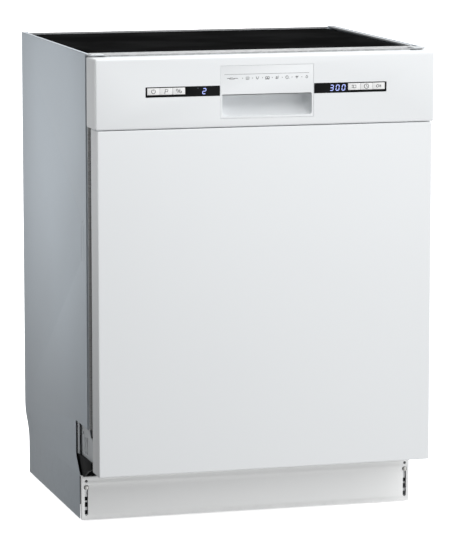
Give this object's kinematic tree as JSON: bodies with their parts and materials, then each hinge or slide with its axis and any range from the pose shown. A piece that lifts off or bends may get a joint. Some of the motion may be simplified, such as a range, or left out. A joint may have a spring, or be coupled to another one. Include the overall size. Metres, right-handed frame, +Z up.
{
  "type": "built-in dishwasher",
  "caption": "Built-in dishwasher with a drop-down door, grip recess, display windows and keys, pull-out racks, spray arms and adjustable feet.",
  "frame": {"origin": "on the floor, below the middle of the machine's width and depth", "axes": "+Z up, the front with the console faces -Y, +X to the right seen from the front"},
  "size_m": [0.598, 0.575, 0.815],
  "materials": {
    "black_plastic": "moulded black plastic, fine texture",
    "cabinet_steel": "zinc-coated sheet, light blue-grey, satin",
    "galvanised": "galvanised steel, faint spangle",
    "sound_mat": "black bitumen felt mat",
    "stainless": "fine brushed stainless steel",
    "seal_rubber": "grey-black door seal",
    "white_enamel": "white powder coat, smooth gloss",
    "white_plastic": "white moulded plastic, satin gloss",
    "window_black": "smoked black display window",
    "key_white": "white keys with grey marks",
    "board_green": "printed circuit board",
    "spring_steel": "oiled spring wire",
    "grey_plastic": "grey moulded plastic",
    "clear_grey_plastic": "light grey moulded plastic",
    "wire_coating": "grey nylon-coated wire",
    "wheel_plastic": "grey wheel plastic",
    "blue_cap": "blue dosing cap",
    "zinc_screw": "zinc-plated screw"
  },
  "bodies": {
    "cabinet": {"base_tray": "black_plastic", "left_side_panel": "cabinet_steel", "right_side_panel": "cabinet_steel", "rear_panel": "galvanised", "top_front_crossbar": "galvanised", "top_rear_crossbar": "galvanised", "top_mat": "sound_mat", "worktop_brackets": "galvanised", "tub": "stainless", "door_gasket": "seal_rubber", "lower_door_seal": "seal_rubber", "plinth": "white_enamel", "plinth_brackets": "galvanised", "plinth_screws": "zinc_screw", "hinge_brackets": "galvanised", "balance_springs": "spring_steel", "sump": "grey_plastic", "filter_plate": "stainless", "wash_pump": "grey_plastic", "drain_pump": "grey_plastic", "inlet_valve": "clear_grey_plastic", "drain_outlet": "grey_plastic", "cord_gland": "black_plastic", "latch_strike": "zinc_screw", "ceiling_sprinkler": "grey_plastic", "fixed_rails": "stainless"},
    "door": {"door_panel": "white_enamel", "door_liner": "stainless", "console": "white_plastic", "grip_insert": "white_plastic", "left_window": "window_black", "right_window": "window_black", "control_boards": "board_green", "door_latch": "grey_plastic", "dispenser_body": "grey_plastic", "hinge_arms": "galvanised"},
    "dispenser_lid": {"dispenser_lid": "clear_grey_plastic"},
    "rinse_cap": {"rinse_cap": "blue_cap"},
    "upper_rack": {"upper_basket": "wire_coating"},
    "rack_rails": {"moving_rails": "stainless"},
    "upper_spray_arm": {"upper_spray_arm": "grey_plastic"},
    "cup_shelf": {"cup_shelf": "clear_grey_plastic"},
    "lower_rack": {"lower_basket": "wire_coating"},
    "front_wheels": {"front_wheels": "wheel_plastic"},
    "rear_wheels": {"rear_wheels": "wheel_plastic"},
    "cutlery_basket": {"cutlery_basket": "grey_plastic"},
    "lower_spray_arm": {"lower_spray_arm": "grey_plastic"},
    "filter_cup": {"filter_cup": "grey_plastic"},
    "salt_cap": {"salt_cap": "grey_plastic"},
    "float_dome": {"float_dome": "clear_grey_plastic"},
    "foot_front_left": {"foot_front_left": "black_plastic"},
    "foot_front_right": {"foot_front_right": "black_plastic"},
    "foot_rear_left": {"foot_rear_left": "black_plastic"},
    "foot_rear_right": {"foot_rear_right": "black_plastic"},
    "left_key_1": {"left_key_1": "key_white"},
    "left_key_2": {"left_key_2": "key_white"},
    "left_key_3": {"left_key_3": "key_white"},
    "right_key_1": {"right_key_1": "key_white"},
    "right_key_2": {"right_key_2": "key_white"},
    "right_key_3": {"right_key_3": "key_white"}
  },
  "joints": [
    {"name": "door_hinge", "type": "hinge", "parent": "cabinet", "child": "door", "pos_m": [0, -0.2215, 0.11], "axis": [1, 0, 0], "range_deg": [0, 90], "deforming": ["balance_springs"]},
    {"name": "upper_rack_slide", "type": "slide", "parent": "cabinet", "child": "upper_rack", "axis": [0, -1, 0], "range_m": [0, 0.42]},
    {"name": "rack_rails_slide", "type": "slide", "parent": "cabinet", "child": "rack_rails", "axis": [0, -1, 0], "range_m": [0, 0.21]},
    {"name": "lower_rack_slide", "type": "slide", "parent": "cabinet", "child": "lower_rack", "axis": [0, -1, 0], "range_m": [0, 0.15]},
    {"name": "front_wheels_roll", "type": "hinge", "parent": "lower_rack", "child": "front_wheels", "pos_m": [0, -0.1435, 0.1448], "axis": [1, 0, 0], "range_deg": [0, 575]},
    {"name": "rear_wheels_roll", "type": "hinge", "parent": "lower_rack", "child": "rear_wheels", "pos_m": [0, 0.1265, 0.1448], "axis": [1, 0, 0], "range_deg": [0, 575]},
    {"name": "upper_spray_spin", "type": "hinge", "parent": "upper_rack", "child": "upper_spray_arm", "pos_m": [0, 0.0125, 0.457], "axis": [0, 0, 1], "continuous": true},
    {"name": "lower_spray_spin", "type": "hinge", "parent": "cabinet", "child": "lower_spray_arm", "pos_m": [0.03, 0.0125, 0.165], "axis": [0, 0, 1], "continuous": true},
    {"name": "cup_shelf_fold", "type": "hinge", "parent": "upper_rack", "child": "cup_shelf", "pos_m": [-0.245, -0.0885, 0.558], "axis": [0, -1, 0], "range_deg": [0, 85]},
    {"name": "cutlery_lift", "type": "slide", "parent": "lower_rack", "child": "cutlery_basket", "axis": [0, 0, 1], "range_m": [0, 0.04]},
    {"name": "dispenser_lid_slide", "type": "slide", "parent": "door", "child": "dispenser_lid", "axis": [0, 0, 1], "range_m": [0, 0.05]},
    {"name": "rinse_cap_turn", "type": "hinge", "parent": "door", "child": "rinse_cap", "pos_m": [0.036, -0.2275, 0.5], "axis": [0, 1, 0], "range_deg": [0, 90]},
    {"name": "filter_cup_turn", "type": "hinge", "parent": "cabinet", "child": "filter_cup", "pos_m": [-0.07, 0.0125, 0.1], "axis": [0, 0, 1], "range_deg": [0, 90]},
    {"name": "salt_cap_turn", "type": "hinge", "parent": "cabinet", "child": "salt_cap", "pos_m": [0.17, 0.1425, 0.13], "axis": [0, 0, 1], "range_deg": [0, 360]},
    {"name": "float_lift", "type": "slide", "parent": "cabinet", "child": "float_dome", "axis": [0, 0, 1], "range_m": [0, 0.01]},
    {"name": "foot_front_left_height", "type": "slide", "parent": "cabinet", "child": "foot_front_left", "axis": [0, 0, -1], "range_m": [0, 0.03]},
    {"name": "foot_front_right_height", "type": "slide", "parent": "cabinet", "child": "foot_front_right", "axis": [0, 0, -1], "range_m": [0, 0.03]},
    {"name": "foot_rear_left_height", "type": "slide", "parent": "cabinet", "child": "foot_rear_left", "axis": [0, 0, -1], "range_m": [0, 0.03]},
    {"name": "foot_rear_right_height", "type": "slide", "parent": "cabinet", "child": "foot_rear_right", "axis": [0, 0, -1], "range_m": [0, 0.03]},
    {"name": "left_key_1_press", "type": "slide", "parent": "door", "child": "left_key_1", "axis": [0, 1, 0], "range_m": [0, 0.0015], "stiffness_N_per_m": 400, "springref_m": -0.001},
    {"name": "left_key_2_press", "type": "slide", "parent": "door", "child": "left_key_2", "axis": [0, 1, 0], "range_m": [0, 0.0015], "stiffness_N_per_m": 400, "springref_m": -0.001},
    {"name": "left_key_3_press", "type": "slide", "parent": "door", "child": "left_key_3", "axis": [0, 1, 0], "range_m": [0, 0.0015], "stiffness_N_per_m": 400, "springref_m": -0.001},
    {"name": "right_key_1_press", "type": "slide", "parent": "door", "child": "right_key_1", "axis": [0, 1, 0], "range_m": [0, 0.0015], "stiffness_N_per_m": 400, "springref_m": -0.001},
    {"name": "right_key_2_press", "type": "slide", "parent": "door", "child": "right_key_2", "axis": [0, 1, 0], "range_m": [0, 0.0015], "stiffness_N_per_m": 400, "springref_m": -0.001},
    {"name": "right_key_3_press", "type": "slide", "parent": "door", "child": "right_key_3", "axis": [0, 1, 0], "range_m": [0, 0.0015], "stiffness_N_per_m": 400, "springref_m": -0.001}
  ],
  "couplings": [
    {"joint": "upper_rack_slide", "follows": "door_hinge", "m_per_rad": 0.2673},
    {"joint": "rack_rails_slide", "follows": "door_hinge", "m_per_rad": 0.1336},
    {"joint": "lower_rack_slide", "follows": "door_hinge", "m_per_rad": 0.0954},
    {"joint": "front_wheels_roll", "follows": "door_hinge", "ratio": 6.36},
    {"joint": "rear_wheels_roll", "follows": "door_hinge", "ratio": 6.36}
  ]
}
